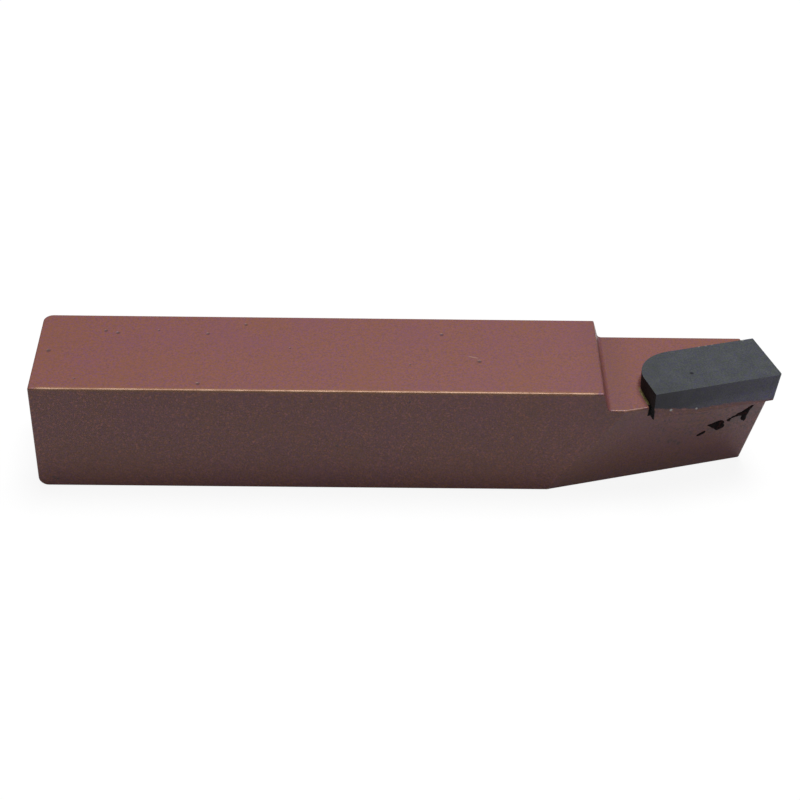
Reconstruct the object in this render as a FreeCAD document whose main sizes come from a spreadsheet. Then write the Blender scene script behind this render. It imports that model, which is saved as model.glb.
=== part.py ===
import FreeCAD, Part
import math
import os
import Sketcher

# Brazed carbide tool bit: left hand, fifteen degree lead, square shank.
#
# Frame in millimetres: X runs from the rear end to the cutting nose, Z up. The origin lies on the
# base face, at mid length and mid width. The flank that carries the side cutting edge faces -Y.
#
# Pieces: the steel shank, the carbide tip, and the braze that joins them.

DRIVING_DIMENSIONS = (
    ("shank_width", 19.05, "section across, a three quarter inch square bar"),
    ("shank_height", 19.05, "section height, also the height of the cutting nose"),
    ("overall_length", 114.3, "rear end to cutting nose, four and a half inches"),
    ("rear_round", 1.5, "radius on the back and base edges of the rear end"),
    ("edge_round", 0.25, "radius on every other sharp edge of the bar and its head"),
    ("shoulder_distance", 86.55, "rear end to the top of the shoulder"),
    ("ledge_depth", 3.175, "drop from the top face to the ledge"),
    ("shoulder_lean", 16.0, "degrees by which the shoulder leans back from upright"),
    ("shoulder_fillet", 0.8, "radius that the milling cutter left at the foot of the shoulder"),
    ("lead_angle", 15.0, "degrees between the side cutting edge and the shank"),
    ("end_angle", 14.5, "degrees between the end cutting edge and square across"),
    ("nose_offset", 5.4, "front side of the shank to the cutting nose"),
    ("side_rake", 5.4, "degrees by which the tip's top falls away from its side edge"),
    ("side_clearance", 10.5, "degrees by which the steel flank falls back going down"),
    ("end_clearance", 8.2, "degrees by which the steel end falls back going down"),
    ("side_setback", 0.98, "side cutting edge to the steel flank, at the ledge"),
    ("end_setback", 0.5, "end cutting edge to the steel end, at the ledge"),
    ("heel_round", 0.5, "radius between the steel flank and the steel end, under the nose"),
    ("tip_length", 20.6375, "carbide along its side edge, thirteen sixteenths of an inch"),
    ("tip_width", 11.1125, "carbide across, seven sixteenths of an inch"),
    ("tip_thickness", 4.7625, "carbide thickness, three sixteenths of an inch"),
    ("tip_corner", 6.35, "radius of the carbide's rounded rear corner, a quarter inch"),
    ("side_relief", 5.0, "degrees ground under the side cutting edge, off square to the top"),
    ("end_relief", 7.8, "degrees ground under the end cutting edge, off square to the top"),
    ("nose_radius", 0.4, "radius of the cutting nose in plan"),
    ("braze_film", 0.15, "braze under the tip and behind it"),
    ("end_gap", 0.4, "braze between the tip's rear end and the seat's end wall"),
    ("fillet_reach", 1.0, "braze fillet along the underside of the overhanging tip"),
    ("fillet_drop", 1.3, "braze fillet down the steel flank"),
    ("fillet_hollow", 1.6, "radius of the braze fillet's hollow face"),
    ("fillet_start", 2.5, "nose to the start of the braze fillet, along the side edge"),
    ("fillet_end", 1.5, "rear end of the tip to the end of the braze fillet"),
    ("cutter_margin", 3.0, "how far a cut runs out past the steel it removes"),
)

doc = FreeCAD.newDocument("tool_bit")


def make_sheet():
    """Put every driving dimension in a cell of its own, under its name."""
    table = doc.addObject("Spreadsheet::Sheet", "dims")
    for row, (name, size, note) in enumerate(DRIVING_DIMENSIONS, start=1):
        table.set(f"A{row}", name)
        table.set(f"B{row}", str(size))
        table.set(f"C{row}", note)
        table.setAlias(f"B{row}", name)
    doc.recompute()
    return table


sheet = make_sheet()

# Distance within which a point counts as lying on another or on a plane, in millimetres
TOUCHING = 1e-6
# An edge counts as sharp where its two faces turn by more than this, in degrees
SHARP_TURN = 5.0

# Expressions that more than one feature uses
HALF_WIDTH = "dims.shank_width / 2"
NOSE_X = "dims.overall_length / 2"
NOSE_Y = "(dims.nose_offset - dims.shank_width / 2)"
NOSE_Z = "dims.shank_height"
LEDGE_Z = "(dims.shank_height - dims.ledge_depth)"
SHOULDER_X = "(dims.shoulder_distance - dims.overall_length / 2)"
SEAT_DEPTH = "(dims.tip_thickness + dims.braze_film)"
TIP_SQUARENESS = "(dims.end_angle - dims.lead_angle)"

# Where the tip lies: its origin is the cutting nose, x runs forward along the side cutting edge,
# y runs across the tip towards the back, and z is square to its top face
TIP_FRAME = (
    f"placement(vector({NOSE_X}; {NOSE_Y}; {NOSE_Z});"
    " rotation(dims.lead_angle; 0; -dims.side_rake))"
)


def value(expression):
    """The number that an expression gives with the sheet as it stands."""
    return float(sheet.evalExpression(expression))


def origin_plane(body, role):
    """One of the body's own three origin planes."""
    return next(plane for plane in body.Origin.OriginFeatures if plane.Role == role)


def new_sketch(body, name, role, offset=None):
    """A sketch laid flat on an origin plane of the body, moved by the offset's expression."""
    sketch = body.newObject("Sketcher::SketchObject", name)
    sketch.AttachmentSupport = [(origin_plane(body, role), "")]
    sketch.MapMode = "FlatFace"
    if offset:
        sketch.setExpression("AttachmentOffset", offset)
    return sketch


def locate(sketch, line, across, up):
    """Pin the start of a line by its two coordinates, each an expression."""
    start = 1
    for kind, axis, expression in (("DistanceX", -2, across), ("DistanceY", -1, up)):
        if expression == "0":
            sketch.addConstraint(Sketcher.Constraint("PointOnObject", line, start, axis))
            continue
        pin = Sketcher.Constraint(kind, -1, 1, line, start, value(expression))
        sketch.setExpression(f"Constraints[{sketch.addConstraint(pin)}]", expression)


def polygon(sketch, corners):
    """A closed outline of straight lines through corners given as pairs of expressions."""
    points = [FreeCAD.Vector(value(across), value(up), 0) for across, up in corners]
    count = len(points)
    for index in range(count):
        line = Part.LineSegment(points[index], points[(index + 1) % count])
        sketch.addGeometry(line, False)
    for index in range(count):
        join = Sketcher.Constraint("Coincident", index, 2, (index + 1) % count, 1)
        sketch.addConstraint(join)
    for index, (across, up) in enumerate(corners):
        locate(sketch, index, across, up)


def pad(body, name, sketch, length, downward=False, both_ways=False):
    """Extrude a sketch by an expression's length."""
    feature = body.newObject("PartDesign::Pad", name)
    feature.Profile = sketch
    feature.setExpression("Length", length)
    feature.Reversed = downward
    if both_ways:
        feature.SideType = "Symmetric"
    doc.recompute()
    return feature


def cut_through(body, name, sketch):
    """Cut a sketch right through the body, both ways, and make sure that steel was removed."""
    before = body.Shape.Volume
    feature = body.newObject("PartDesign::Pocket", name)
    feature.Profile = sketch
    feature.Type = "ThroughAll"
    feature.SideType = "Symmetric"
    doc.recompute()
    if feature.Shape.isNull() or feature.Shape.Volume >= before:
        raise RuntimeError(f"{name} removes nothing")
    return feature


def round_edges(body, name, base, edges, radius):
    """Round some edges of the base feature, named by their place in its shape."""
    feature = body.newObject("PartDesign::Fillet", name)
    feature.Base = (base, edges)
    feature.setExpression("Radius", radius)
    doc.recompute()
    return feature


def sharp(shape, edge):
    """Whether the two faces beside an edge turn there."""
    middle = edge.valueAt((edge.FirstParameter + edge.LastParameter) / 2)
    normals = [
        face.normalAt(*face.Surface.parameter(middle))
        for face in shape.ancestorsOfType(edge, Part.Face)
    ]
    return math.degrees(normals[0].getAngle(normals[1])) > SHARP_TURN


def edges_where(feature, test):
    """Names of the feature's straight sharp edges that pass a test."""
    return [
        f"Edge{number}"
        for number, edge in enumerate(feature.Shape.Edges, start=1)
        if isinstance(edge.Curve, Part.Line) and test(edge) and sharp(feature.Shape, edge)
    ]


def along(edge, **place):
    """Whether both ends of an edge have the given coordinates, such as X=0."""
    return all(
        abs(getattr(vertex, axis) - expected) < TOUCHING
        for vertex in edge.Vertexes
        for axis, expected in place.items()
    )


def make_bar():
    """The steel before its seat is milled: bar, ledge, flank and end, with rounded edges."""
    body = doc.addObject("PartDesign::Body", "steel_bar")
    margin = "dims.cutter_margin"

    section = new_sketch(body, "bar_section", "YZ_Plane")
    polygon(section, (
        (f"-{HALF_WIDTH}", "0"),
        (HALF_WIDTH, "0"),
        (HALF_WIDTH, "dims.shank_height"),
        (f"-{HALF_WIDTH}", "dims.shank_height"),
    ))
    pad(body, "bar", section, "dims.overall_length", both_ways=True)

    # The ledge, up to a shoulder that leans back
    ledge_profile = new_sketch(body, "ledge_profile", "XZ_Plane")
    lean = "tan(dims.shoulder_lean)"
    polygon(ledge_profile, (
        (f"{SHOULDER_X} - {margin} * {lean}", f"dims.shank_height + {margin}"),
        (f"{SHOULDER_X} + dims.ledge_depth * {lean}", LEDGE_Z),
        (f"{NOSE_X} + {margin}", LEDGE_Z),
        (f"{NOSE_X} + {margin}", f"dims.shank_height + {margin}"),
    ))
    cut_through(body, "ledge", ledge_profile)

    # The flank, seen along the side cutting edge: it falls back towards the base
    flank_frame = f"placement(vector({NOSE_Y}; 0; {NOSE_X}); rotation(0; dims.lead_angle; 0))"
    flank_profile = new_sketch(body, "flank_profile", "YZ_Plane", flank_frame)
    fall = "tan(dims.side_clearance)"
    polygon(flank_profile, (
        (f"dims.side_setback - (dims.ledge_depth + {margin}) * {fall}", f"{NOSE_Z} + {margin}"),
        ("-dims.shank_width", f"{NOSE_Z} + {margin}"),
        ("-dims.shank_width", f"-{margin}"),
        (f"dims.side_setback + ({LEDGE_Z} + {margin}) * {fall}", f"-{margin}"),
    ))
    cut_through(body, "flank", flank_profile)

    # The end, seen along the end cutting edge: it falls back in the same way
    end_frame = f"placement(vector({NOSE_X}; 0; -{NOSE_Y}); rotation(0; dims.end_angle; 0))"
    end_profile = new_sketch(body, "end_profile", "XZ_Plane", end_frame)
    fall = "tan(dims.end_clearance)"
    polygon(end_profile, (
        (f"(dims.ledge_depth + {margin}) * {fall} - dims.end_setback", f"{NOSE_Z} + {margin}"),
        (f"-dims.end_setback - ({LEDGE_Z} + {margin}) * {fall}", f"-{margin}"),
        ("dims.shank_width", f"-{margin}"),
        ("dims.shank_width", f"{NOSE_Z} + {margin}"),
    ))
    end = cut_through(body, "end", end_profile)

    rear = -value(NOSE_X)
    back = value(HALF_WIDTH)
    shoulder_foot = value(f"{SHOULDER_X} + dims.ledge_depth * {lean}")
    ledge_level = value(LEDGE_Z)

    def blunt_rear(edge):
        return along(edge, X=rear, Y=back) or along(edge, X=rear, Z=0.0)

    def foot_of_shoulder(edge):
        return along(edge, X=shoulder_foot, Z=ledge_level)

    def heel(edge):
        levels = sorted(vertex.Z for vertex in edge.Vertexes)
        upright = abs(levels[0]) < TOUCHING and abs(levels[1] - ledge_level) < TOUCHING
        return upright and all(vertex.X > shoulder_foot for vertex in edge.Vertexes) and not (
            along(edge, Y=back) or along(edge, Y=-back)
        )

    rounds = end
    for name, test, radius in (
        ("rear_rounds", blunt_rear, "dims.rear_round"),
        ("shoulder_foot", foot_of_shoulder, "dims.shoulder_fillet"),
        ("heel", heel, "dims.heel_round"),
        ("edge_rounds", lambda edge: True, "dims.edge_round"),
    ):
        rounds = round_edges(body, name, rounds, edges_where(rounds, test), radius)
    return body


def blank_outline(sketch, rear_gap, back_gap, front_run, end_run):
    """The carbide's plan with its rounded rear corner.

    The gaps move the rear and back sides outward, and the runs carry the two open sides past
    the cutting edges.
    """
    rear = f"-(dims.tip_length + {rear_gap})"
    back = f"(dims.tip_width + {back_gap})"
    front = f"-({front_run})"
    square = f"tan({TIP_SQUARENESS})"
    corner = "dims.tip_corner"
    nose = (f"{end_run} - {front} * {square}", front)
    straight = (
        nose,
        (rear, front),
        (rear, f"{back} - {corner}"),
        (f"{rear} + {corner}", back),
        (f"{end_run} - {back} * {square}", back),
    )
    points = [FreeCAD.Vector(value(across), value(up), 0) for across, up in straight]
    centre = FreeCAD.Vector(points[3].x, points[2].y, 0)
    radius = value(corner)
    circle = Part.Circle(centre, FreeCAD.Vector(0, 0, 1), radius)
    quarter = Part.ArcOfCircle(circle, math.pi / 2, math.pi)
    side, rear_side, back_side, end_side, arc = range(5)
    sketch.addGeometry(Part.LineSegment(points[0], points[1]), False)
    sketch.addGeometry(Part.LineSegment(points[1], points[2]), False)
    sketch.addGeometry(Part.LineSegment(points[3], points[4]), False)
    sketch.addGeometry(Part.LineSegment(points[4], points[0]), False)
    sketch.addGeometry(quarter, False)
    sketch.addConstraint(Sketcher.Constraint("Coincident", side, 2, rear_side, 1))
    sketch.addConstraint(Sketcher.Constraint("Tangent", rear_side, 2, arc, 2))
    sketch.addConstraint(Sketcher.Constraint("Tangent", back_side, 1, arc, 1))
    sketch.addConstraint(Sketcher.Constraint("Coincident", back_side, 2, end_side, 1))
    sketch.addConstraint(Sketcher.Constraint("Coincident", end_side, 2, side, 1))
    size = sketch.addConstraint(Sketcher.Constraint("Radius", arc, radius))
    sketch.setExpression(f"Constraints[{size}]", corner)
    locate(sketch, side, *straight[0])
    locate(sketch, rear_side, *straight[1])
    locate(sketch, end_side, *straight[4])
    sketch.addConstraint(Sketcher.Constraint("Vertical", rear_side))
    sketch.addConstraint(Sketcher.Constraint("Horizontal", back_side))


def grind_side(body, name, role, offset, relief, facing):
    """Grind one side of the blank back under its top edge, which runs through the nose.

    Facing is the way in which that side looks along the sketch: 1 or -1.
    """
    margin = "dims.cutter_margin"
    depth = f"(dims.tip_thickness + {margin})"
    profile = new_sketch(body, f"{name}_profile", role, offset)
    polygon(profile, (
        ("0", "0"),
        (f"{-facing} * {depth} * tan({relief})", f"-{depth}"),
        (f"{facing} * {margin}", f"-{depth}"),
        (f"{facing} * {margin}", "0"),
    ))
    return cut_through(body, name, profile)


def make_tip():
    """The carbide: a blank with one rounded corner, ground back under its two cutting edges."""
    body = doc.addObject("PartDesign::Body", "carbide_tip")
    body.setExpression("Placement", TIP_FRAME)
    plan = new_sketch(body, "tip_plan", "XY_Plane")
    blank_outline(plan, "0", "0", "0", "0")
    pad(body, "blank", plan, "dims.tip_thickness", downward=True)
    grind_side(body, "side_grind", "YZ_Plane", None, "dims.side_relief", facing=-1)
    end_frame = f"placement(vector(0; 0; 0); rotation(0; {TIP_SQUARENESS}; 0))"
    ground = grind_side(body, "end_grind", "XZ_Plane", end_frame, "dims.end_relief", facing=1)

    top_nose = FreeCAD.Vector(0, 0, 0)

    def at_nose(edge):
        touches = any(vertex.Point.distanceToPoint(top_nose) < TOUCHING for vertex in edge.Vertexes)
        drops = abs(edge.Vertexes[0].Z - edge.Vertexes[1].Z) > value("dims.tip_thickness / 2")
        return touches and drops

    round_edges(body, "nose_round", ground, edges_where(ground, at_nose), "dims.nose_radius")
    return body


def make_seat_cutter():
    """What the seat is milled to: the carbide's plan, opened at its flank and end."""
    body = doc.addObject("PartDesign::Body", "seat_cutter")
    body.setExpression("Placement", TIP_FRAME)
    plan = new_sketch(body, "seat_plan", "XY_Plane")
    margin = "dims.cutter_margin"
    blank_outline(plan, "dims.end_gap", "dims.braze_film", margin, margin)
    pad(body, "seat", plan, SEAT_DEPTH, downward=True)
    return body


def hollow_arc(start, end, radius):
    """An arc from start to end that bows towards the left of that line."""
    chord = end - start
    sag = math.sqrt(radius**2 - (chord.Length / 2) ** 2)
    across = FreeCAD.Vector(chord.y, -chord.x, 0).normalize()
    centre = (start + end) / 2 + across * sag
    reach = [math.atan2(point.y - centre.y, point.x - centre.x) for point in (end, start)]
    circle = Part.Circle(centre, FreeCAD.Vector(0, 0, 1), radius)
    return Part.ArcOfCircle(circle, *reach)


def make_braze_fillet():
    """The braze that creeps under the overhanging tip and down the steel flank.

    Its section is hollow between the tip's underside and the flank, and laps a little way into
    both.
    """
    body = doc.addObject("PartDesign::Body", "braze_fillet")
    body.setExpression("Placement", TIP_FRAME)
    slope = "tan(dims.side_rake + dims.side_clearance)"
    foot = (
        "(dims.side_setback - dims.ledge_depth * tan(dims.side_clearance))"
        " * cos(dims.side_clearance) / cos(dims.side_rake + dims.side_clearance)"
    )
    root = f"({foot} + dims.tip_thickness * {slope})"
    lap = "dims.braze_film"
    underside = "-dims.tip_thickness"
    lowest = f"{underside} - dims.fillet_drop"
    start = "placement(vector(0; 0; -dims.fillet_start); rotation(0; 0; 0))"
    profile = new_sketch(body, "fillet_profile", "YZ_Plane", start)
    corners = (
        (f"{root} + dims.fillet_drop * {slope}", lowest),
        (f"{root} + dims.fillet_drop * {slope} + {lap}", lowest),
        (f"{root} + {lap}", underside),
        (f"{root} - dims.fillet_reach", underside),
    )
    points = [FreeCAD.Vector(value(across), value(up), 0) for across, up in corners]
    for first, second in zip(points, points[1:]):
        profile.addGeometry(Part.LineSegment(first, second), False)
    radius = value("dims.fillet_hollow")
    profile.addGeometry(hollow_arc(points[3], points[0], radius), False)
    low_side, inner_side, top_side, hollow = range(4)
    for first, second in ((low_side, inner_side), (inner_side, top_side)):
        profile.addConstraint(Sketcher.Constraint("Coincident", first, 2, second, 1))
    profile.addConstraint(Sketcher.Constraint("Coincident", top_side, 2, hollow, 2))
    profile.addConstraint(Sketcher.Constraint("Coincident", low_side, 1, hollow, 1))
    size = profile.addConstraint(Sketcher.Constraint("Radius", hollow, radius))
    profile.setExpression(f"Constraints[{size}]", "dims.fillet_hollow")
    for line, (across, up) in enumerate(corners[:3]):
        locate(profile, line, across, up)
    profile.addConstraint(Sketcher.Constraint("Horizontal", top_side))
    reach = f"dims.fillet_reach + {lap}"
    width = Sketcher.Constraint("DistanceX", top_side, 2, top_side, 1, value(reach))
    profile.setExpression(f"Constraints[{profile.addConstraint(width)}]", reach)
    run = "dims.tip_length - dims.fillet_start - dims.fillet_end"
    pad(body, "fillet_run", profile, run, downward=True)
    return body


def boolean(kind, name, base, tool):
    """Combine two solids of the document."""
    result = doc.addObject(f"Part::{kind}", name)
    result.Base = base
    result.Tool = tool
    doc.recompute()
    return result


def make_shank(bar, cutter):
    """The steel with its seat."""
    return boolean("Cut", "shank", bar, cutter)


def make_braze(bar, cutter, shank, tip, fillet):
    """What fills the seat round the carbide, with the fillet outside it."""
    seat = boolean("Common", "seat_space", bar, cutter)
    film = boolean("Cut", "braze_film", seat, tip)
    outside = boolean("Cut", "fillet_outside", fillet, shank)
    return boolean("Fuse", "braze_joint", film, outside)


steel_bar = make_bar()
carbide_tip = make_tip()
seat_cutter = make_seat_cutter()
braze_fillet = make_braze_fillet()
shank = make_shank(steel_bar, seat_cutter)
braze_joint = make_braze(steel_bar, seat_cutter, shank, carbide_tip, braze_fillet)
doc.recompute()

for item in doc.Objects:
    if "Invalid" in item.State or "Error" in item.State:
        raise RuntimeError(f"{item.Name} did not build: {item.State}")

pieces = (shank, carbide_tip, braze_joint)
for piece in pieces:
    if piece.Shape.isNull() or not piece.Shape.isValid():
        raise RuntimeError(f"{piece.Label} has no valid shape")
    if len(piece.Shape.Solids) != 1:
        raise RuntimeError(f"{piece.Label} has {len(piece.Shape.Solids)} solids")

os.makedirs("parts", exist_ok=True)
for piece in pieces:
    piece.Shape.exportStep(f"parts/{piece.Label}.step")
    print(piece.Label, round(piece.Shape.Volume, 2), "cubic millimetres")
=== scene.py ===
"""Looks of a brazed carbide tool bit: copper-painted steel, ground carbide, braze and burnt flux.

X runs along the shank towards the cutting nose, Y across it and Z up from the base face. Sizes and
places are in millimetres, and become metres where they reach an object.
"""

import math
import random

import bmesh
import bpy
from mathutils import Matrix, Vector, geometry, noise


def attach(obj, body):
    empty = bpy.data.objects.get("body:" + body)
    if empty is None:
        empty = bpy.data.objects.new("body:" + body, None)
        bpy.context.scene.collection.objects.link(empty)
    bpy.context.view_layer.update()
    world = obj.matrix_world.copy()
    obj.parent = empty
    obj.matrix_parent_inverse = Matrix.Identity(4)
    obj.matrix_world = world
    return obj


MM = 0.001
SEED = 41
WHITE = (1.0, 1.0, 1.0, 1.0)
UPRIGHT = Vector((0.0, 0.0, 1.0))

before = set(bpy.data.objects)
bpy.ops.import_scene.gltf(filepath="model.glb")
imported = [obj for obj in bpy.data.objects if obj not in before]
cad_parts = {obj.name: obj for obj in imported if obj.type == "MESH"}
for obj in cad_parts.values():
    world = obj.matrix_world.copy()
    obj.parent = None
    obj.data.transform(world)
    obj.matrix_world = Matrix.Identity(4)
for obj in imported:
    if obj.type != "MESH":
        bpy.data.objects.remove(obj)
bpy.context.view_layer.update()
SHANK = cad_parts["shank"]
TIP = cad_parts["carbide_tip"]
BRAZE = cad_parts["braze_joint"]

# Real sizes that the finish follows, the same as in the part's source
SHANK_HALF_WIDTH = 9.525
SHANK_TOP = 19.05
LEDGE_LEVEL = 15.875
EDGE_ROUND = 0.25
NOSE = Vector((57.15, -4.125, SHANK_TOP))
LEAD_ANGLE = math.radians(15.0)
SIDE_RAKE = math.radians(5.4)
SIDE_CLEARANCE = math.radians(10.5)
SIDE_SETBACK = 0.98
TIP_LENGTH = 20.6375

# Axes of the tip: along its cutting side, inward across its top, and up out of its top
TIP_ALONG = Vector((math.cos(LEAD_ANGLE), math.sin(LEAD_ANGLE), 0.0))
TIP_INWARD = Vector(
    (
        -math.sin(LEAD_ANGLE) * math.cos(SIDE_RAKE),
        math.cos(LEAD_ANGLE) * math.cos(SIDE_RAKE),
        -math.sin(SIDE_RAKE),
    )
)
TIP_UP = TIP_ALONG.cross(TIP_INWARD)

# The ground steel flank: square to the cutting side in plan, its outward side, its own way up,
# and a point on it that is level with the ledge and in line with the nose
FLANK_BACK = Vector((-math.sin(LEAD_ANGLE), math.cos(LEAD_ANGLE), 0.0))
FLANK_OUT = -FLANK_BACK * math.cos(SIDE_CLEARANCE)
FLANK_OUT.z = -math.sin(SIDE_CLEARANCE)
FLANK_UP = TIP_ALONG.cross(FLANK_OUT)
if FLANK_UP.z < 0:
    FLANK_UP.negate()
FLANK_POINT = NOSE + FLANK_BACK * SIDE_SETBACK
FLANK_POINT.z = LEDGE_LEVEL


class Graph:
    """A material's node tree with one Principled shader, and short calls for the nodes that feed it."""

    def __init__(self, name):
        self.material = bpy.data.materials.new(name)
        self.material.use_nodes = True
        self.tree = self.material.node_tree
        self.tree.nodes.clear()
        self.shader = self.tree.nodes.new("ShaderNodeBsdfPrincipled")
        output = self.tree.nodes.new("ShaderNodeOutputMaterial")
        self.tree.links.new(self.shader.outputs[0], output.inputs["Surface"])

    def feed(self, socket, value):
        if isinstance(value, bpy.types.NodeSocket):
            self.tree.links.new(value, socket)
        else:
            socket.default_value = value

    def node(self, kind, settings=None, **inputs):
        made = self.tree.nodes.new(kind)
        for name, value in (settings or {}).items():
            setattr(made, name, value)
        for name, value in inputs.items():
            self.feed(made.inputs[name.replace("_", " ")], value)
        return made

    def math(self, operation, *values):
        made = self.node("ShaderNodeMath", {"operation": operation})
        for place, value in enumerate(values):
            self.feed(made.inputs[place], value)
        return made.outputs[0]

    def vector(self, operation, first, second):
        made = self.node("ShaderNodeVectorMath", {"operation": operation})
        self.feed(made.inputs[0], first)
        self.feed(made.inputs[1], second)
        is_number = operation in ("DISTANCE", "DOT_PRODUCT")
        return made.outputs["Value" if is_number else "Vector"]

    def dot(self, first, second):
        return self.vector("DOT_PRODUCT", first, second)

    def distance(self, first, second):
        return self.vector("DISTANCE", first, second)

    def scaled(self, colour, factor):
        """A fixed colour times a number."""
        made = self.node("ShaderNodeVectorMath", {"operation": "SCALE"}, Scale=factor)
        made.inputs[0].default_value = colour
        return made.outputs[0]

    def position(self):
        """Position in millimetres."""
        spot = self.node("ShaderNodeTexCoord").outputs["Object"]
        return self.vector("MULTIPLY", spot, (1 / MM,) * 3)

    def noise(self, spot, scale, detail, roughness):
        return self.node(
            "ShaderNodeTexNoise",
            Vector=spot,
            Scale=scale,
            Detail=detail,
            Roughness=roughness,
        ).outputs["Fac"]

    def fade(self, value, start, end, at_start=0.0, at_end=1.0, smooth=True):
        """A number that goes from at_start to at_end as the value goes from start to end."""
        made = self.node(
            "ShaderNodeMapRange",
            {"interpolation_type": "SMOOTHSTEP" if smooth else "LINEAR"},
            Value=value,
        )
        for name, number in (
            ("From Min", start),
            ("From Max", end),
            ("To Min", at_start),
            ("To Max", at_end),
        ):
            self.feed(made.inputs[name], number)
        return made.outputs[0]

    def all_of(self, mask, *others):
        """Where every mask holds, as their product."""
        for other in others:
            mask = self.math("MULTIPLY", mask, other)
        return mask

    def any_of(self, mask, *others):
        """Where any mask holds, as the largest of them."""
        for other in others:
            mask = self.math("MAXIMUM", mask, other)
        return mask

    def mix(self, share, first, second):
        """A blend of two colours."""
        made = self.node("ShaderNodeMix", {"data_type": "RGBA"})
        self.feed(made.inputs[0], share)
        for place, colour in ((6, first), (7, second)):
            if not isinstance(colour, bpy.types.NodeSocket):
                colour = (*colour, 1.0)
            self.feed(made.inputs[place], colour)
        return made.outputs[2]

    def coat(self, colour, *coats):
        """Coats laid over a colour in turn, each given as its share and its colour."""
        for share, over in coats:
            colour = self.mix(share, colour, over)
        return colour

    def blend(self, share, first, second):
        """A blend of two numbers."""
        made = self.node("ShaderNodeMix", {"data_type": "FLOAT"})
        for place, value in ((0, share), (2, first), (3, second)):
            self.feed(made.inputs[place], value)
        return made.outputs[0]

    def finish(self, colour, roughness, metallic, height, relief, specular):
        """Feeds the shader. Relief is the height of the bump in millimetres."""
        self.feed(self.shader.inputs["Base Color"], colour)
        self.feed(self.shader.inputs["Roughness"], roughness)
        self.feed(self.shader.inputs["Metallic"], metallic)
        self.shader.inputs["Specular IOR Level"].default_value = specular
        bump = self.node(
            "ShaderNodeBump", Height=height, Strength=1.0, Distance=relief * MM
        )
        self.tree.links.new(bump.outputs[0], self.shader.inputs["Normal"])
        return self.material


# Below, a name that ends in NOISE holds a pattern's scale per millimetre, detail and roughness.
# One that ends in FADE holds where a pattern or a distance starts and ends to count, and where
# they aren't 0 and 1, the shares there.

# Copper-brown paint
PAINT_DARK = (0.165, 0.048, 0.039)
PAINT_LIGHT = (0.285, 0.092, 0.074)
PAINT_ORANGE = (0.238, 0.08, 0.029)
PAINT_VIOLET = (0.208, 0.064, 0.108)
PAINT_FLAKE = (0.42, 0.2, 0.16)
# Dark pit colour, also used for the painted shade of the tip's rear end
PAINT_PIT_AND_SHADE = (0.09, 0.03, 0.03)
PAINT_SPECULAR = 0.7
PAINT_RELIEF = 0.02
GRAIN_NOISE = (3.6, 3.0, 0.8)
GRAIN_FADE = (0.4, 0.6)
GRAIN_HEIGHT = 0.6
GLOSS_FADE = (0.2, 0.8, 0.5, 0.36)
RIPPLE_NOISE = (1.4, 3.0, 0.55)
HUE_NOISE = (2.2, 3.0, 0.75)
ORANGE_FADE = (0.5, 0.6, 0.0, 0.9)
VIOLET_FADE = (0.5, 0.4, 0.0, 0.9)
CLOUD_NOISE = (0.1, 2.0, 0.55)
ORANGE_CLOUD_FADE = (0.5, 0.65, 0.0, 0.22)
VIOLET_CLOUD_FADE = (0.5, 0.35, 0.0, 0.22)
FLAKE_SCALE = 5.0
FLAKE_FADE = (0.72, 1.0)
FLAKE_SHARE = 0.3
FLAKE_METALLIC = 0.4
PIT_FADE = (0.3, 0.0)
PIT_SHARE = 0.25


def paint_layers(g, spot):
    """Copper-brown paint with fine metal flake: its colour, roughness, metal share and height."""
    grain = g.noise(spot, *GRAIN_NOISE)
    hue = g.noise(spot, *HUE_NOISE)
    cloud = g.noise(spot, *CLOUD_NOISE)
    cells = g.node("ShaderNodeTexVoronoi", Vector=spot, Scale=FLAKE_SCALE).outputs["Color"]
    cell_level = g.node("ShaderNodeSeparateColor", Color=cells).outputs[0]
    flakes = g.fade(cell_level, *FLAKE_FADE)
    pits = g.fade(cell_level, *PIT_FADE)
    colour = g.coat(
        g.mix(g.fade(grain, *GRAIN_FADE), PAINT_DARK, PAINT_LIGHT),
        (g.fade(hue, *ORANGE_FADE), PAINT_ORANGE),
        (g.fade(hue, *VIOLET_FADE), PAINT_VIOLET),
        (g.math("MULTIPLY", flakes, FLAKE_SHARE), PAINT_FLAKE),
        (g.math("MULTIPLY", pits, PIT_SHARE), PAINT_PIT_AND_SHADE),
        (g.fade(cloud, *ORANGE_CLOUD_FADE), PAINT_ORANGE),
        (g.fade(cloud, *VIOLET_CLOUD_FADE), PAINT_VIOLET),
    )
    roughness = g.fade(grain, *GLOSS_FADE)
    metallic = g.math("MULTIPLY", flakes, FLAKE_METALLIC)
    height = g.math("MULTIPLY_ADD", grain, GRAIN_HEIGHT, g.noise(spot, *RIPPLE_NOISE))
    return colour, roughness, metallic, height


# Pinholes in the paint: place on the face and width
TOP_PINHOLES = (
    (-55.23, 0.06, 0.5),
    (-47.04, 5.36, 0.4),
    (-45.11, 4.84, 0.45),
    (-38.82, 5.59, 0.25),
    (-31.13, 4.83, 0.4),
    (-25.36, 7.34, 0.4),
    (-31.77, -7.86, 0.45),
    (-50.42, -6.94, 0.25),
    (-18.23, 1.35, 0.25),
    (0.26, -2.58, 0.25),
    (5.28, 5.22, 0.45),
    (10.93, -1.63, 0.5),
)
FRONT_PINHOLES = (
    (-54.73, 1.71, 0.35),
    (-54.14, 1.35, 0.4),
    (-10.79, 8.51, 0.4),
    (0.18, 17.27, 0.35),
    (-14.68, 17.25, 0.35),
    (-40.3, 1.93, 0.3),
)
PINHOLE = (0.05, 0.025, 0.035)
PINHOLE_SHARE = 0.7
PINHOLE_DEPTH = 2.0
# The middle of a pinhole that has its full colour, as a share of its width
PINHOLE_MIDDLE = 0.3


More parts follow.
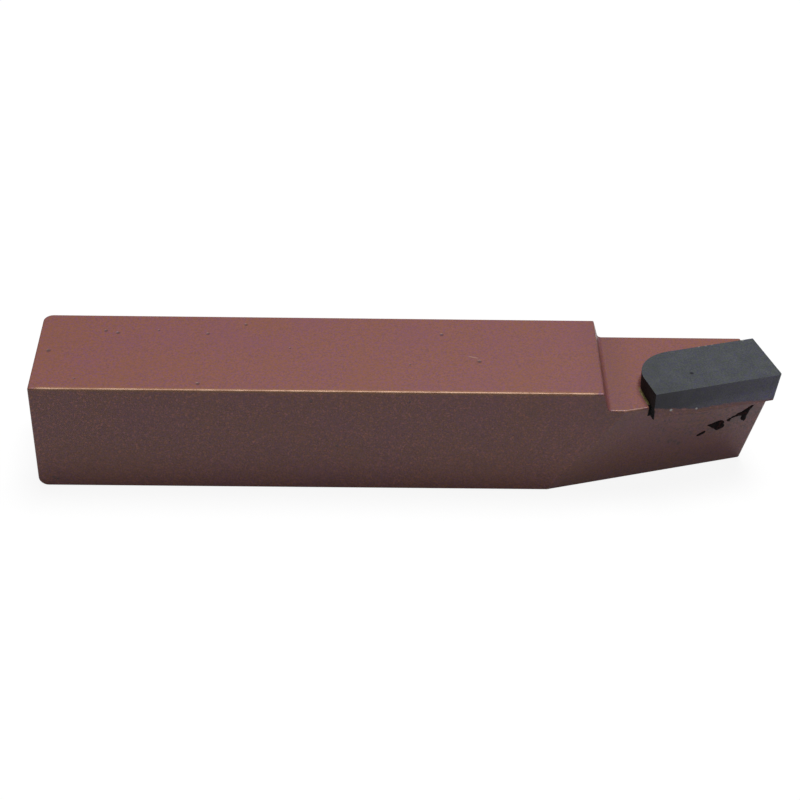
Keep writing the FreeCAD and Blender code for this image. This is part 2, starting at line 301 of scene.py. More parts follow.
def pinholes(g, spot):
    """How far a point lies in a pinhole."""
    places = [(Vector((x, y, SHANK_TOP)), width) for x, y, width in TOP_PINHOLES]
    for x, z, width in FRONT_PINHOLES:
        places.append((Vector((x, -SHANK_HALF_WIDTH, z)), width))
    holes = [
        g.fade(g.distance(spot, place), width, width * PINHOLE_MIDDLE)
        for place, width in places
    ]
    return g.any_of(*holes)


# A light scuff on the top face: its ends, its sides, its two ends' fades as shares of its length,
# and how far it reaches from its start
SCUFF = (0.42, 0.27, 0.22)
SCUFF_START = Vector((9.29, -0.31, SHANK_TOP))
SCUFF_END = Vector((10.73, -0.77, SHANK_TOP))
SCUFF_SHARE = 0.5
SCUFF_SIDE_FADE = (0.16, 0.05)
SCUFF_START_FADE = (-0.1, 0.2)
SCUFF_END_FADE = (1.1, 0.8)
SCUFF_REACH_FADE = (2.5, 2.2)


def scuff(g, spot):
    """A light scuff along a short line."""
    run = SCUFF_END - SCUFF_START
    side = run.cross(UPRIGHT).normalized()
    offset = g.vector("SUBTRACT", spot, SCUFF_START)
    far = g.dot(offset, run / run.length_squared)
    aside = g.math("ABSOLUTE", g.dot(offset, side))
    return g.all_of(
        g.fade(aside, *SCUFF_SIDE_FADE),
        g.fade(far, *SCUFF_START_FADE),
        g.fade(far, *SCUFF_END_FADE),
        g.fade(g.distance(spot, SCUFF_START), *SCUFF_REACH_FADE),
    )


# A darker patch of paint on the front face
PATCH = Vector((18.89, -SHANK_HALF_WIDTH, 15.36))
PATCH_FADE = (1.6, 0.2, 0.0, 0.35)

# Stains on the flank: along and up from its reference point, width and strength
FLANK_STAINS = (
    (-11.0, -8.4, 0.9, 0.5),
    (-8.5, -7.0, 2.2, 0.8),
    (-6.2, -6.0, 1.3, 0.7),
    (-4.4, -5.6, 2.2, 0.8),
    (-3.2, -4.2, 1.3, 0.7),
    (-16.0, -8.9, 0.8, 0.7),
    (-15.2, -9.3, 0.7, 0.7),
    (-14.4, -9.9, 0.6, 0.65),
    (-14.2, -12.35, 0.6, 0.5),
    (-2.0, -5.3, 0.5, 0.7),
)
# The middle of a stain that has its full strength, as a share of its width
STAIN_MIDDLE = 0.2
# Soot's colour, also used for the painted shade at the foot of the shoulder
SOOT_AND_SHADE = (0.02, 0.012, 0.013)
MOTTLE_NOISE = (1.6, 4.0, 0.7)
MOTTLE_FADE = (0.35, 0.6, 0.4, 1.0)
# Soot keeps to the flank, within these distances off its plane
FLANK_FADE = (1.0, 0.5)
# A streak left of the burnt flux: heights along it, its width and its two ends
STREAK_LINE = (-16.2, -11.0, -4.6, -5.2)
STREAK_FADE = (0.22, 0.05, 0.0, 0.4)
STREAK_REAR_FADE = (-16.4, -15.6)
STREAK_FRONT_FADE = (-10.9, -11.6)
# Specks strewn under the tip, and the borders of their field on the flank
SPECK_NOISE = (1.7, 3.0, 0.7)
SPECK_FADE = (0.5, 0.62, 0.0, 0.6)
SPECKS_TOP_FADE = (-2.2, -3.4)
SPECKS_FOOT_FADE = (-10.5, -8.0)
SPECKS_REAR_FADE = (-20.5, -18.5)
SPECKS_FRONT_FADE = (-0.5, -2.0)
# The corner line at the foot of the shoulder, round which the paint is darkened as painted shade
SHOULDER_FOOT = Vector((30.5, 0.0, LEDGE_LEVEL))
FOOT_SHADE_FADE = (6.0, 0.3, 0.0, 0.2)


def flank_axes(g, spot):
    """Offset from the flank's reference point, its parts along and up the flank, and how far off it."""
    offset = g.vector("SUBTRACT", spot, FLANK_POINT)
    off = g.math("ABSOLUTE", g.dot(offset, FLANK_OUT))
    return offset, g.dot(offset, TIP_ALONG), g.dot(offset, FLANK_UP), off


def soot_and_foot_shade(g, spot, flank):
    """Stains, a streak and specks on the flank, and painted shade at the foot of the shoulder."""
    _, along, up, off = flank
    on_flank = g.fade(off, *FLANK_FADE)
    stains = []
    for x, y, width, strength in FLANK_STAINS:
        far = g.distance(spot, FLANK_POINT + TIP_ALONG * x + FLANK_UP * y)
        stains.append(g.fade(far, width, width * STAIN_MIDDLE, 0.0, strength))
    line = g.fade(along, *STREAK_LINE, smooth=False)
    from_line = g.math("ABSOLUTE", g.math("SUBTRACT", up, line))
    streak = g.all_of(
        g.fade(from_line, *STREAK_FADE),
        on_flank,
        g.fade(along, *STREAK_REAR_FADE),
        g.fade(along, *STREAK_FRONT_FADE),
    )
    mottle = g.fade(g.noise(spot, *MOTTLE_NOISE), *MOTTLE_FADE)
    smudges = g.all_of(g.any_of(*stains, streak), mottle)
    # Painted shade, darker towards the corner at the foot of the shoulder
    lengthwise = g.vector("MULTIPLY", spot, (1.0, 0.0, 1.0))
    foot_shade = g.fade(g.distance(lengthwise, SHOULDER_FOOT), *FOOT_SHADE_FADE)
    specks = g.all_of(
        g.fade(g.noise(spot, *SPECK_NOISE), *SPECK_FADE),
        on_flank,
        g.fade(up, *SPECKS_TOP_FADE),
        g.fade(up, *SPECKS_FOOT_FADE),
        g.fade(along, *SPECKS_REAR_FADE),
        g.fade(along, *SPECKS_FRONT_FADE),
    )
    return g.any_of(smudges, foot_shade, specks)


# Worn paint and painted highlight along the front top edge: its two ends along the shank and their
# fades
WORN_METAL_AND_HIGHLIGHT = (0.5, 0.31, 0.21)
WORN_ROUGHNESS = 0.5
WORN_METALLIC = 0.5
WORN_REAR, WORN_SHOULDER = -56.6, 28.6
WORN_REAR_RUN, WORN_SHOULDER_RUN = 1.5, 1.0
# Its strength at the rear end and at the shoulder
WORN_STRENGTHS = (0.95, 0.65)
# Where its middle lies on the rounded edge, in rises of the rounding
WORN_MIDDLE = Vector((0.0, 1.7, -0.1))
# Its ragged reach from there: how much it varies, and the least
WORN_REACH = (0.24, 0.06)
WORN_REACH_NOISE = (2.0, 3.0, 0.55)
WORN_FADE = (1.3, 0.7)
RUB_NOISE = (0.35, 3.0, 0.55)
RUB_FADE = (0.35, 0.6, 0.4, 1.0)
FRINGE = (0.29, 0.115, 0.05)
FRINGE_FADE = (0.55, 0.2)
# The same along the front edge of the ledge, fainter
LEDGE_WORN_AND_HIGHLIGHT_FADE = (0.38, 0.12, 0.0, 0.3)
LEDGE_RUB_NOISE = (0.9, 3.0, 0.55)
LEDGE_RUB_FADE = (0.35, 0.6)
LEDGE_REAR_FADE = (29.6, 30.4)
LEDGE_FRONT_FADE = (-20.6, -21.2)


def worn_paint_and_highlight(g, spot, flank):
    """Worn paint and painted highlight along the shank's front top edge and the ledge's, and the tinted
    fringe beside it.
    """
    offset, along, _, _ = flank
    place = g.node("ShaderNodeSeparateXYZ", Vector=spot).outputs[0]
    across = g.vector("MULTIPLY", spot, (0.0, 1.0, 1.0))
    edge = Vector((0.0, -SHANK_HALF_WIDTH, SHANK_TOP))
    edge += WORN_MIDDLE * EDGE_ROUND * (1 - math.cos(math.pi / 4))
    from_edge = g.distance(across, edge)
    stretch = g.all_of(
        g.fade(place, WORN_REAR, WORN_REAR + WORN_REAR_RUN),
        g.fade(place, WORN_SHOULDER, WORN_SHOULDER - WORN_SHOULDER_RUN),
    )
    reach = g.math("MULTIPLY_ADD", g.noise(spot, *WORN_REACH_NOISE), *WORN_REACH)
    worn_and_highlight = g.all_of(
        g.fade(g.math("DIVIDE", from_edge, reach), *WORN_FADE),
        g.fade(g.noise(spot, *RUB_NOISE), *RUB_FADE),
        stretch,
        g.fade(place, WORN_REAR, WORN_SHOULDER, *WORN_STRENGTHS),
    )
    fringe = g.all_of(g.fade(from_edge, *FRINGE_FADE), stretch)

    # The ledge's edge runs straight at first, then along the top of the flank
    from_straight = g.distance(across, Vector((0.0, -SHANK_HALF_WIDTH, LEDGE_LEVEL)))
    back = g.dot(offset, FLANK_BACK)
    above = g.dot(offset, UPRIGHT)
    above_squared = g.math("MULTIPLY", above, above)
    from_slanted = g.math("SQRT", g.math("MULTIPLY_ADD", back, back, above_squared))
    # Along the ledge's edge too, the lighter colour is partly painted highlight
    ledge_worn_and_highlight = g.all_of(
        g.fade(g.math("MINIMUM", from_straight, from_slanted), *LEDGE_WORN_AND_HIGHLIGHT_FADE),
        g.fade(g.noise(spot, *LEDGE_RUB_NOISE), *LEDGE_RUB_FADE),
        g.fade(along, *LEDGE_FRONT_FADE),
        g.fade(place, *LEDGE_REAR_FADE),
    )
    return g.any_of(worn_and_highlight, ledge_worn_and_highlight), fringe


def painted_steel():
    g = Graph("painted_steel")
    spot = g.position()
    colour, roughness, metallic, height = paint_layers(g, spot)
    flank = flank_axes(g, spot)
    holes = pinholes(g, spot)
    worn_and_highlight, fringe = worn_paint_and_highlight(g, spot, flank)
    colour = g.coat(
        colour,
        (g.math("MULTIPLY", holes, PINHOLE_SHARE), PINHOLE),
        (g.fade(g.distance(spot, PATCH), *PATCH_FADE), PAINT_PIT_AND_SHADE),
        (g.math("MULTIPLY", scuff(g, spot), SCUFF_SHARE), SCUFF),
        # Soot, and painted shade at the foot of the shoulder
        (soot_and_foot_shade(g, spot, flank), SOOT_AND_SHADE),
        (fringe, FRINGE),
        # Worn paint and painted highlight on the edges
        (worn_and_highlight, WORN_METAL_AND_HIGHLIGHT),
    )
    height = g.math("SUBTRACT", height, g.math("MULTIPLY", holes, PINHOLE_DEPTH))
    roughness = g.blend(worn_and_highlight, roughness, WORN_ROUGHNESS)
    metallic = g.any_of(metallic, g.math("MULTIPLY", worn_and_highlight, WORN_METALLIC))
    return g.finish(colour, roughness, metallic, height, PAINT_RELIEF, PAINT_SPECULAR)


# Ground carbide
CARBIDE_DARK = (0.048, 0.053, 0.058)
CARBIDE_LIGHT = (0.106, 0.111, 0.121)
CARBIDE_BLUE = (0.064, 0.066, 0.118)
CARBIDE_GREEN = (0.072, 0.088, 0.07)
CARBIDE_SPECULAR = 0.5
CARBIDE_METALLIC = 0.35
CARBIDE_RELIEF = 0.02
CARBIDE_GRAIN_NOISE = (5.0, 3.0, 0.7)
CARBIDE_GRAIN_FADE = (0.38, 0.62)
BLUE_FADE = (0.5, 0.62, 0.0, 0.8)
GREEN_FADE = (0.5, 0.38, 0.0, 0.8)
CARBIDE_CLOUD_NOISE = (0.4, 2.0, 0.55)
CARBIDE_GLOSS_FADE = (0.3, 0.7, 0.42, 0.52)
# The rear of the top is a little darker
REAR_SHADE_FADE = (-12.0, -TIP_LENGTH, 0.0, 0.3)
# A dark dot on the top, along and inward from the nose
TIP_DOT = TIP_ALONG * -13.15 + TIP_INWARD * 4.19
DOT_FADE = (0.45, 0.16, 0.0, 0.85)
# The cutting side against the top: its tint, and how bright it is along it and below a slanted band
SIDE_FADE = (0.7, 0.9)
SIDE_TINT = (1.0, 0.9, 1.1)
SIDE_SHINE_FADE = (-TIP_LENGTH, -2.0, 0.33, 1.02)
SIDE_BAND_LINE = (-TIP_LENGTH, 0.0, -2.9, -1.5)
SIDE_BAND_FADE = (0.0, -1.5, 1.0, 1.5)
# Lower edge of the bare carbide on the cutting side: heights from the nose at places along it
SHORE_REAR_LINE = (-TIP_LENGTH, -13.4, -2.8, -4.03)
SHORE_FRONT_DROP = (-7.5, -1.0, 0.0, -0.57)
SHORE_NOISE = (1.2, 4.0, 0.7)
NOISE_MIDDLE = 0.5
LAP_FADE = (-0.25, 0.2)
LAP_SIDE_FADE = (1.2, 0.8)
LAP_GREY = (0.6, 0.6, 0.6)
LAP_GREY_SHARE = 0.06
# The rear end, burnt and in painted shade, and flux with painted slit shadow low down at the cutting
# side
REAR_FADE = (0.3, 0.6)
REAR_BURNT_AND_SHADE_SHARE = 0.9
CORNER_FADE = (-TIP_LENGTH + 0.25, -TIP_LENGTH + 0.05)
CORNER_LOW_FADE = (-2.6, -3.2)
MATT_ROUGHNESS = 0.95
# Burnt black, also used for the painted shade of the tip's rear end and the painted shadow of the slit
BURNT_AND_SHADE = (0.004, 0.003, 0.004)
# Silvery beads of braze on the carbide: along, inward and up from the nose, and width
BEADS = (
    (-17.87, 0.3, -3.43, 0.5),
    (-13.65, 0.35, -3.95, 0.4),
    (-9.06, 11.1, 0.0, 0.35),
    (-7.9, 11.1, 0.0, 0.4),
    (-6.9, 11.1, 0.0, 0.35),
    (-1.68, 10.95, 0.0, 0.4),
)
BEAD = (0.3, 0.3, 0.29)
BEAD_METALLIC = 0.8
# A bead's outer edge and its full middle, as shares of its width
BEAD_EDGE, BEAD_MIDDLE = 0.6, 0.3


def tip_axes(g, spot):
    """Offset from the nose, and its parts along the cutting side, inward across the top and up."""
    offset = g.vector("SUBTRACT", spot, NOSE)
    return offset, [g.dot(offset, axis) for axis in (TIP_ALONG, TIP_INWARD, TIP_UP)]


def side_colour(g, colour, along, up):
    """The carbide's colour on its cutting side, darker to its rear end and its top edge, and bluer."""
    band = g.fade(along, *SIDE_BAND_LINE, smooth=False)
    shine = g.all_of(
        g.fade(along, *SIDE_SHINE_FADE, smooth=False),
        g.fade(g.math("SUBTRACT", up, band), *SIDE_BAND_FADE),
    )
    return g.vector("MULTIPLY", colour, g.scaled(SIDE_TINT, shine))


def paint_lap(g, spot, along, inward, up):
    """Copper paint over the lower part of the cutting side, up to a ragged line."""
    shore = g.fade(along, *SHORE_REAR_LINE, smooth=False)
    shore = g.math("ADD", shore, g.fade(along, *SHORE_FRONT_DROP, smooth=False))
    ragged = g.math("SUBTRACT", g.noise(spot, *SHORE_NOISE), NOISE_MIDDLE)
    shore = g.math("ADD", ragged, shore)
    return g.all_of(
        g.fade(g.math("SUBTRACT", shore, up), *LAP_FADE),
        g.fade(inward, *LAP_SIDE_FADE),
    )


def beads(g, offset):
    """How far a point lies on a bead of braze."""
    masks = []
    for x, y, z, width in BEADS:
        far = g.distance(offset, TIP_ALONG * x + TIP_INWARD * y + TIP_UP * z)
        masks.append(g.fade(far, width * BEAD_EDGE, width * BEAD_MIDDLE))
    return g.any_of(*masks)


def carbide():
    g = Graph("ground_carbide")
    spot = g.position()
    offset, (along, inward, up) = tip_axes(g, spot)
    facing = g.node("ShaderNodeNewGeometry").outputs["True Normal"]
    paint, paint_rough, paint_metal, paint_height = paint_layers(g, spot)

    # The bare ground faces
    grain = g.noise(spot, *CARBIDE_GRAIN_NOISE)
    hue = g.noise(spot, *HUE_NOISE)
    top = g.coat(
        g.mix(g.fade(grain, *CARBIDE_GRAIN_FADE), CARBIDE_DARK, CARBIDE_LIGHT),
        (g.fade(hue, *BLUE_FADE), CARBIDE_BLUE),
        (g.fade(hue, *GREEN_FADE), CARBIDE_GREEN),
        (g.fade(along, *REAR_SHADE_FADE), CARBIDE_DARK),
    )
    on_side = g.fade(g.dot(facing, -TIP_INWARD), *SIDE_FADE)
    bare = g.mix(on_side, top, side_colour(g, top, along, up))

    # What lies on them: the dot, the lapped paint, the rear end's burn and painted shade, and the beads
    side_lap = paint_lap(g, spot, along, inward, up)
    # The rear end, picked by its facing: burnt, and painted shade where it faces away from the lamp
    burnt_and_shaded_rear = g.fade(g.dot(facing, -TIP_ALONG), *REAR_FADE)
    # Burnt flux and the painted shadow of the slit, low at the rear corner
    corner_flux_and_shadow = g.all_of(g.fade(along, *CORNER_FADE), g.fade(up, *CORNER_LOW_FADE))
    beaded = beads(g, offset)
    colour = g.coat(
        bare,
        (g.fade(g.distance(offset, TIP_DOT), *DOT_FADE), BURNT_AND_SHADE),
        (side_lap, g.mix(LAP_GREY_SHARE, paint, LAP_GREY)),
        (burnt_and_shaded_rear, PAINT_PIT_AND_SHADE),
        (g.math("MULTIPLY", burnt_and_shaded_rear, REAR_BURNT_AND_SHADE_SHARE), BURNT_AND_SHADE),
        (corner_flux_and_shadow, BURNT_AND_SHADE),
        (beaded, BEAD),
    )

    lapped = g.any_of(side_lap, burnt_and_shaded_rear)
    bare_rough = g.fade(g.noise(spot, *CARBIDE_CLOUD_NOISE), *CARBIDE_GLOSS_FADE)
    matt = g.math("MULTIPLY", g.any_of(corner_flux_and_shadow, burnt_and_shaded_rear), MATT_ROUGHNESS)
    roughness = g.any_of(g.blend(lapped, bare_rough, paint_rough), matt)
    shiny = g.math("MULTIPLY", beaded, BEAD_METALLIC)
    metallic = g.any_of(g.blend(lapped, CARBIDE_METALLIC, paint_metal), shiny)
    height = g.blend(lapped, grain, paint_height)
    return g.finish(colour, roughness, metallic, height, CARBIDE_RELIEF, CARBIDE_SPECULAR)


# Braze: bare and yellowish at the tip's rear end near the flank, painted elsewhere, and at the flank
# itself black with burnt flux and the painted shadow of a slit that has no shape of its own
BRASS_DARK = (0.2, 0.16, 0.06)
BRASS_LIGHT = (0.45, 0.38, 0.17)
BRASS_ROUGHNESS = 0.4
BRAZE_SPECULAR = 0.2
BRAZE_RELIEF = 0.03
BRAZE_METALLIC = 0.1
BRASS_METALLIC = 0.6
BRAZE_RIPPLE_NOISE = (1.6, 4.0, 0.65)
BRAZE_RIPPLE_FADE = (0.3, 0.7)
BEHIND_TIP_FADE = (-TIP_LENGTH + 0.15, -TIP_LENGTH - 0.05)
BARE_FADE = (7.0, 5.0)
FLUX_AND_SLIT_SHADOW_FADE = (2.3, 1.9)
FLUX_AND_SLIT_SHADOW_ROUGHNESS = 0.8


def braze():
    g = Graph("braze_metal")
    spot = g.position()
    paint, paint_rough, _, paint_height = paint_layers(g, spot)
    _, (along, inward, _) = tip_axes(g, spot)
    ripple = g.noise(spot, *BRAZE_RIPPLE_NOISE)
    brass = g.mix(g.fade(ripple, *BRAZE_RIPPLE_FADE), BRASS_DARK, BRASS_LIGHT)
    behind = g.fade(along, *BEHIND_TIP_FADE)
    bare = g.all_of(behind, g.fade(inward, *BARE_FADE))
    # Burnt flux, and the painted shadow of the slit at the tip's rear end
    flux_and_slit_shadow = g.all_of(behind, g.fade(inward, *FLUX_AND_SLIT_SHADOW_FADE))
    colour = g.coat(paint, (bare, brass), (flux_and_slit_shadow, BURNT_AND_SHADE))
    roughness = g.blend(bare, paint_rough, BRASS_ROUGHNESS)
    roughness = g.blend(flux_and_slit_shadow, roughness, FLUX_AND_SLIT_SHADOW_ROUGHNESS)
    shiny = g.all_of(bare, g.math("SUBTRACT", 1.0, flux_and_slit_shadow))
    metallic = g.math("MULTIPLY_ADD", shiny, BRASS_METALLIC, BRAZE_METALLIC)
    height = g.math("ADD", paint_height, ripple)
    return g.finish(colour, roughness, metallic, height, BRAZE_RELIEF, BRAZE_SPECULAR)


# Burnt flux
FLUX_GRAIN_NOISE = (3.0, 4.0, 0.7)
FLUX_FLECK_NOISE = (1.8, 3.0, 0.7)
FLUX_FLECK_FADE = (0.52, 0.62, 0.0, 0.7)
FLUX_GLOSS_FADE = (0.3, 0.7, 0.7, 0.95)
FLUX_SPECULAR = 0.1
FLUX_RELIEF = 0.05


def burnt_flux():
    g = Graph("burnt_flux")
    spot = g.position()
    grain = g.noise(spot, *FLUX_GRAIN_NOISE)
    flecks = g.fade(g.noise(spot, *FLUX_FLECK_NOISE), *FLUX_FLECK_FADE)
    colour = g.coat(g.mix(grain, BURNT_AND_SHADE, SOOT_AND_SHADE), (flecks, PAINT_PIT_AND_SHADE))
    roughness = g.fade(grain, *FLUX_GLOSS_FADE)
    return g.finish(colour, roughness, 0.0, grain, FLUX_RELIEF, FLUX_SPECULAR)


def dress(node, material):
    node.data.materials.clear()
    node.data.materials.append(material)


# Outlines of the crusts of burnt flux, as (along, up) on the flank from its reference point
FLUX_OUTLINES = {
    "slit": (
        (-11.67, -8.85),
        (-11.45, -8.45),
        (-10.52, -7.85),
        (-10.22, -7.92),
        (-10.28, -8.44),
        (-11.32, -8.95),
    ),
    "patch": (
        (-10.28, -6.57),
        (-9.48, -6.35),
        (-8.87, -6.06),
        (-8.4, -5.91),
        (-7.7, -6.03),
        (-7.36, -6.49),
        (-7.45, -6.82),
        (-7.17, -7.37),
        (-7.35, -7.73),
        (-7.95, -8.07),
        (-8.34, -8.24),
        (-8.86, -7.76),
        (-9.45, -7.33),
    ),
    "run": (
        (-7.11, -6.07),
        (-6.75, -5.75),
        (-6.24, -5.39),
        (-5.85, -5.25),
        (-5.44, -4.8),
        (-4.82, -4.59),
        (-4.39, -4.21),
        (-3.97, -3.84),
        (-3.55, -3.49),
        (-2.98, -3.38),
        (-3.26, -4.0),
        (-3.51, -4.42),
        (-3.61, -5.1),
        (-3.83, -5.64),
        (-3.79, -6.61),
        (-4.04, -6.98),
        (-4.53, -6.67),
        (-4.76, -6.02),
        (-4.69, -5.56),
        (-5.28, -5.54),
        (-5.69, -5.62),
        (-6.38, -5.93),
        (-6.51, -6.52),
        (-6.94, -6.47),
    ),
}

# Crusts: the step between their points, how far these wander, and how near the rim they come
CRUST_STEP = 0.16
RIM_WANDER = 0.05
GRID_WANDER = 0.04
RIM_MARGIN = 0.5 * CRUST_STEP
SAME_POINT = 1e-5
# Their height: the full thickness, the width of the sloping rim, the lowest height above the
# flank, how deep they reach below it, and the share and scale of their unevenness
CRUST_THICKNESS = 0.07
RIM_WIDTH = 0.12
CRUST_LIFT = 0.008
CRUST_ROOT = 0.05
UNEVENNESS = 0.6
UNEVEN_SCALE = 2.3
UNEVEN_LAYER = 0.4


def nearest(point, ring):
    """Distance from a point to the nearest point of a ring."""
    return min((point - other).length for other in ring)


def ragged_ring(outline, rng):
    """Points a step apart round an outline, which wander a little between its corners."""
    ring = []
    for place, (x, y) in enumerate(outline):
        next_x, next_y = outline[(place + 1) % len(outline)]
        length = math.dist((x, y), (next_x, next_y))
        parts = max(2, round(length / CRUST_STEP))
        for part in range(parts):
            share = part / parts
            wander = RIM_WANDER * math.sin(math.pi * share)
            ring_x = x + (next_x - x) * share + rng.uniform(-wander, wander)
            ring_y = y + (next_y - y) * share + rng.uniform(-wander, wander)
            ring.append(Vector((ring_x, ring_y)))
    return ring


def inner_points(ring, rng):
    """Points of a wandering grid over a ring's box that keep clear of the ring."""
    left, right = min(p.x for p in ring), max(p.x for p in ring)
    bottom, top = min(p.y for p in ring), max(p.y for p in ring)
    inner = []
    y = bottom
    while y < top:
        x = left
        while x < right:
            grid_x = x + rng.uniform(-GRID_WANDER, GRID_WANDER)
            grid_y = y + rng.uniform(-GRID_WANDER, GRID_WANDER)
            point = Vector((grid_x, grid_y))
            if nearest(point, ring) > RIM_MARGIN:
                inner.append(point)
            x += CRUST_STEP
        y += CRUST_STEP
    return inner


def flank_place(point, height):
    """A place over the flank in metres, from a point on it and a height off it in millimetres."""
    offset = TIP_ALONG * point.x + FLANK_UP * point.y + FLANK_OUT * height
    return FLANK_POINT * MM + offset * MM


def crust_height(point, ring):
    """Height of a crust's surface, which slopes down to its rim."""
    spot = Vector((point.x * UNEVEN_SCALE, point.y * UNEVEN_SCALE, UNEVEN_LAYER))
    slope = 1 - math.exp(-nearest(point, ring) / RIM_WIDTH)
    return CRUST_THICKNESS * slope * (1 + UNEVENNESS * noise.noise(spot)) + CRUST_LIFT


def make_crusts(name, outlines, material):
    """Thin uneven crusts on the flank, each a closed mesh over its outline."""
    rng = random.Random(SEED)
    points, faces = [], []
    for outline in outlines:
        ring = ragged_ring(outline, rng)
        loop = list(range(len(ring)))
        net = ring + inner_points(ring, rng)
        made = geometry.delaunay_2d_cdt(net, [], [loop], 1, SAME_POINT)
        flat, triangles = made[0], made[2]
        top, root = len(points), len(points) + len(flat)
        points += [flank_place(p, crust_height(p, ring)) for p in flat]
        points += [flank_place(p, -CRUST_ROOT) for p in flat]
        for triangle in triangles:
            faces.append([top + i for i in triangle])
            faces.append([root + i for i in reversed(triangle)])
        rim = [min(range(len(flat)), key=lambda i: (flat[i] - p).length) for p in ring]
        for a, b in zip(rim, rim[1:] + rim[:1]):
            faces.append([top + b, top + a, root + a, root + b])
    mesh = bpy.data.meshes.new(name)
    mesh.from_pydata(points, [], faces)
    mesh.validate()
    mesh.materials.append(material)
    turn_outward(mesh)
    crusts = bpy.data.objects.new(name, mesh)
    bpy.context.scene.collection.objects.link(crusts)
    return crusts


def turn_outward(mesh):
    """Turns all faces of a closed mesh outward and shades them smooth."""
    bm = bmesh.new()
    bm.from_mesh(mesh)
    bmesh.ops.recalc_face_normals(bm, faces=bm.faces)
    bm.to_mesh(mesh)
    bm.free()
    for polygon in mesh.polygons:
        polygon.use_smooth = True


# Camera, fitted to the edges in the photograph
CAMERA_PLACE = Vector((-5.8765, -232.4218, 193.0795)) * MM
CAMERA_YAW = math.radians(1.1783)
CAMERA_PITCH = math.radians(38.2046)
CAMERA_ROLL = math.radians(1.3037)
SENSOR_WIDTH = 36.0
FOCAL_LENGTH = 84.849
NEAR_CLIP, FAR_CLIP = 0.01, 10.0


def make_camera():
    look = Vector(
        (
            math.sin(CAMERA_YAW) * math.cos(CAMERA_PITCH),
            math.cos(CAMERA_YAW) * math.cos(CAMERA_PITCH),
            -math.sin(CAMERA_PITCH),
        )
    )
    right = Vector((math.cos(CAMERA_YAW), -math.sin(CAMERA_YAW), 0.0))
    up = right.cross(look)
    turned_right = right * math.cos(CAMERA_ROLL) + up * math.sin(CAMERA_ROLL)
    turned_up = up * math.cos(CAMERA_ROLL) - right * math.sin(CAMERA_ROLL)
    data = bpy.data.cameras.new("camera")
    data.sensor_width = SENSOR_WIDTH
    data.sensor_fit = "HORIZONTAL"
    data.lens = FOCAL_LENGTH
    data.clip_start = NEAR_CLIP
    data.clip_end = FAR_CLIP
    camera = bpy.data.objects.new("camera", data)
    axes = Matrix((turned_right, turned_up, -look)).transposed().to_4x4()
    camera.matrix_world = Matrix.Translation(CAMERA_PLACE) @ axes
    bpy.context.scene.collection.objects.link(camera)
    bpy.context.scene.camera = camera


# Key lamp: a square lamp that faces the origin, its place and size in metres, its power in watts
KEY_PLACE = Vector((0.16, 0.28, 1.35))
KEY_SIZE = 0.6
KEY_POWER = 17.3


def make_key_lamp():
    data = bpy.data.lights.new("key", "AREA")
    data.shape = "SQUARE"
    data.size = KEY_SIZE
    data.energy = KEY_POWER
    lamp = bpy.data.objects.new("key", data)
    lamp.location = KEY_PLACE
    lamp.rotation_mode = "QUATERNION"
    lamp.rotation_quaternion = (-KEY_PLACE).to_track_quat("-Z", "Y")
    bpy.context.scene.collection.objects.link(lamp)


# How bright the world is as a light, and as the camera sees it
WORLD_LIGHT = 0.15
WORLD_SHOWN = 1.0


def make_world():
    """A white world that lights the object only softly."""
    world = bpy.data.worlds.new("studio")
    world.use_nodes = True
    tree = world.node_tree
    tree.nodes.clear()
    rays = tree.nodes.new("ShaderNodeLightPath")
    mixer = tree.nodes.new("ShaderNodeMixShader")
    output = tree.nodes.new("ShaderNodeOutputWorld")
    tree.links.new(rays.outputs["Is Camera Ray"], mixer.inputs[0])
    for place, strength in ((1, WORLD_LIGHT), (2, WORLD_SHOWN)):
        backdrop = tree.nodes.new("ShaderNodeBackground")
        backdrop.inputs["Color"].default_value = WHITE
        backdrop.inputs["Strength"].default_value = strength
        tree.links.new(backdrop.outputs[0], mixer.inputs[place])
    tree.links.new(mixer.outputs[0], output.inputs["Surface"])
    bpy.context.scene.world = world


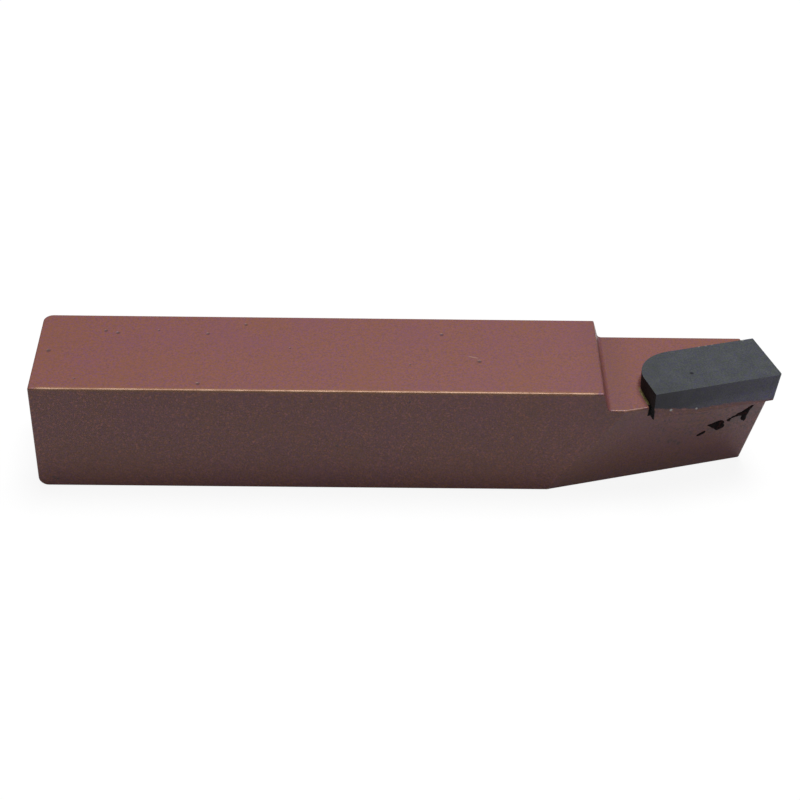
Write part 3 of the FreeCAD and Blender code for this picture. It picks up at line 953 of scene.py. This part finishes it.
# Floor: half its side in metres, and its colour level as a light on the object, to the camera
# and in reflections, with what it glows by itself to the last two
FLOOR_HALF = 1.5
FLOOR_LIGHT = 0.17
FLOOR_SHOWN = 0.12
FLOOR_GLOW = 0.9
FLOOR_MIRRORED = 0.65
FLOOR_MIRRORED_GLOW = 0.25
FLOOR_ROUGHNESS = 0.9
FLOOR_NOISE = (0.02, 2.0, 0.55)
FLOOR_FADE = (0.3, 0.7, 0.98, 1.0)


def floor_material():
    g = Graph("floor")
    rays = g.node("ShaderNodeLightPath")
    seen = rays.outputs["Is Camera Ray"]
    mirrored = rays.outputs["Is Glossy Ray"]
    level = g.all_of(
        g.blend(mirrored, g.blend(seen, FLOOR_LIGHT, FLOOR_SHOWN), FLOOR_MIRRORED),
        g.fade(g.noise(g.position(), *FLOOR_NOISE), *FLOOR_FADE),
    )
    grey = g.node("ShaderNodeCombineColor", Red=level, Green=level, Blue=level)
    glow = g.math("MULTIPLY", seen, FLOOR_GLOW)
    glow = g.math("MULTIPLY_ADD", mirrored, FLOOR_MIRRORED_GLOW, glow)
    g.feed(g.shader.inputs["Base Color"], grey.outputs[0])
    g.feed(g.shader.inputs["Roughness"], FLOOR_ROUGHNESS)
    g.feed(g.shader.inputs["Specular IOR Level"], 0.0)
    g.feed(g.shader.inputs["Emission Color"], WHITE)
    g.feed(g.shader.inputs["Emission Strength"], glow)
    return g.material


def make_floor():
    """A pale floor that shows white with a faint shadow, and throws little light back."""
    mesh = bpy.data.meshes.new("floor")
    sides = ((-1, -1), (1, -1), (1, 1), (-1, 1))
    corners = [(x * FLOOR_HALF, y * FLOOR_HALF, 0.0) for x, y in sides]
    mesh.from_pydata(corners, [], [(0, 1, 2, 3)])
    mesh.materials.append(floor_material())
    floor = bpy.data.objects.new("floor", mesh)
    bpy.context.scene.collection.objects.link(floor)


dress(SHANK, painted_steel())
dress(TIP, carbide())
dress(BRAZE, braze())
flux = make_crusts("burnt_flux", FLUX_OUTLINES.values(), burnt_flux())
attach(flux, "root")

make_camera()
make_world()
make_floor()
make_key_lamp()
bpy.context.scene.view_settings.view_transform = "Standard"
